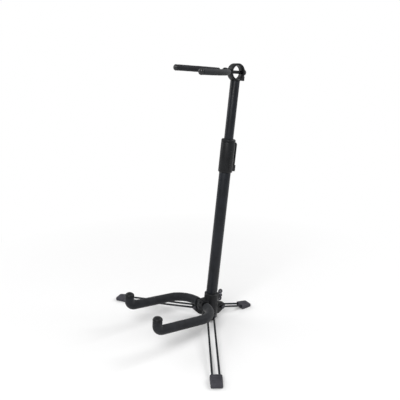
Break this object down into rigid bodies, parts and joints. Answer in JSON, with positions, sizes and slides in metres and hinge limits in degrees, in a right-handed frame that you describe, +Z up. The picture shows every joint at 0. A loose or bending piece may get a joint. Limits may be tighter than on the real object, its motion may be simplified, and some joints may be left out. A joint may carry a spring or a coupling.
{
  "type": "folding instrument stand",
  "caption": "Folding stand for a bowed instrument: folding wire legs, sliding mast with squeeze clutch, foam-covered body cradle and swivelling neck yoke.",
  "frame": {"origin": "on the floor, under the middle of the whole stand at rest", "axes": "+X to the right of someone facing the stand's front, -Y towards its front, where the instrument rests, +Z up"},
  "size_m": [0.3862, 0.2709, 0.5159],
  "materials": {
    "powder_coat": "satin black powder coat on steel",
    "moulded_nylon": "near-black moulded nylon",
    "foam": "matte black closed-cell foam sleeve",
    "rubber_foot": "dark grey moulded rubber",
    "rubber_tip": "black dipped rubber",
    "nylon_glide": "natural nylon",
    "blackened_zinc": "blackened zinc-plated steel",
    "spring_steel": "drawn spring wire"
  },
  "bodies": {
    "base": {"lower_tube": "powder_coat", "collar_body": "moulded_nylon", "collar_cap": "moulded_nylon", "trigger_pin": "blackened_zinc", "clutch_plate": "blackened_zinc", "clutch_spring": "spring_steel", "hub_body": "moulded_nylon", "hub_bottom_plug": "moulded_nylon", "cradle_clamp_plate": "moulded_nylon", "cradle_clamp_screw_lower": "blackened_zinc", "cradle_clamp_screw_upper": "blackened_zinc", "front_right_leg_rivet": "blackened_zinc", "front_left_leg_rivet": "blackened_zinc", "rear_leg_rivet": "blackened_zinc"},
    "mast": {"upper_tube": "powder_coat", "tube_glide": "nylon_glide", "top_ring": "moulded_nylon"},
    "yoke": {"yoke_stem": "moulded_nylon", "yoke_wire": "powder_coat", "yoke_sleeve_left": "foam", "yoke_sleeve_right": "foam", "yoke_tip_left": "rubber_tip", "yoke_tip_right": "rubber_tip", "yoke_washer": "powder_coat"},
    "yoke_nut": {"yoke_nut": "moulded_nylon"},
    "cradle": {"cradle_wire": "powder_coat", "cradle_sleeve_left": "foam", "cradle_sleeve_right": "foam", "cradle_cap_left": "moulded_nylon", "cradle_cap_right": "moulded_nylon"},
    "collar_trigger": {"collar_trigger": "moulded_nylon"},
    "wing_screw": {"hub_wing_screw": "blackened_zinc"},
    "front_right_leg": {"front_right_leg_wire_a": "powder_coat", "front_right_leg_wire_b": "powder_coat", "front_right_foot": "rubber_foot"},
    "front_left_leg": {"front_left_leg_wire_a": "powder_coat", "front_left_leg_wire_b": "powder_coat", "front_left_foot": "rubber_foot"},
    "rear_leg": {"rear_leg_wire_a": "powder_coat", "rear_leg_wire_b": "powder_coat", "rear_foot": "rubber_foot"}
  },
  "joints": [
    {"name": "mast_slide", "type": "slide", "parent": "base", "child": "mast", "axis": [0, 0.1111, 0.9938], "range_m": [-0.09, 0.1]},
    {"name": "yoke_swivel", "type": "hinge", "parent": "mast", "child": "yoke", "pos_m": [0, 0.08449, 0.49999], "axis": [0, 0.9989, -0.0471], "range_deg": [-90, 90]},
    {"name": "yoke_nut_turn", "type": "hinge", "parent": "yoke", "child": "yoke_nut", "pos_m": [0, 0.08449, 0.49999], "axis": [0, 0.9989, -0.0471], "continuous": true},
    {"name": "cradle_fold", "type": "hinge", "parent": "base", "child": "cradle", "pos_m": [0, 0.01109, 0.039], "axis": [-1, 0, 0], "range_deg": [0, 84]},
    {"name": "trigger_squeeze", "type": "hinge", "parent": "base", "child": "collar_trigger", "pos_m": [0, 0.08121, 0.31812], "axis": [1, 0, 0], "range_deg": [0, 3.2], "stiffness_Nm_per_rad": 0.5, "springref_deg": -1.72},
    {"name": "wing_screw_turn", "type": "hinge", "parent": "base", "child": "wing_screw", "pos_m": [0, 0.0342, 0.05019], "axis": [0, 0.9938, -0.1111], "continuous": true},
    {"name": "front_right_leg_fold", "type": "hinge", "parent": "base", "child": "front_right_leg", "pos_m": [0.02606, 0.01426, 0.022], "axis": [0.5417, 0.8406, 0], "range_deg": [0, 82]},
    {"name": "front_left_leg_fold", "type": "hinge", "parent": "base", "child": "front_left_leg", "pos_m": [-0.02606, 0.01426, 0.022], "axis": [0.5417, -0.8406, 0], "range_deg": [0, 82]},
    {"name": "rear_leg_fold", "type": "hinge", "parent": "base", "child": "rear_leg", "pos_m": [0, 0.06005, 0.022], "axis": [-1, 0, 0], "range_deg": [0, 72]}
  ]
}
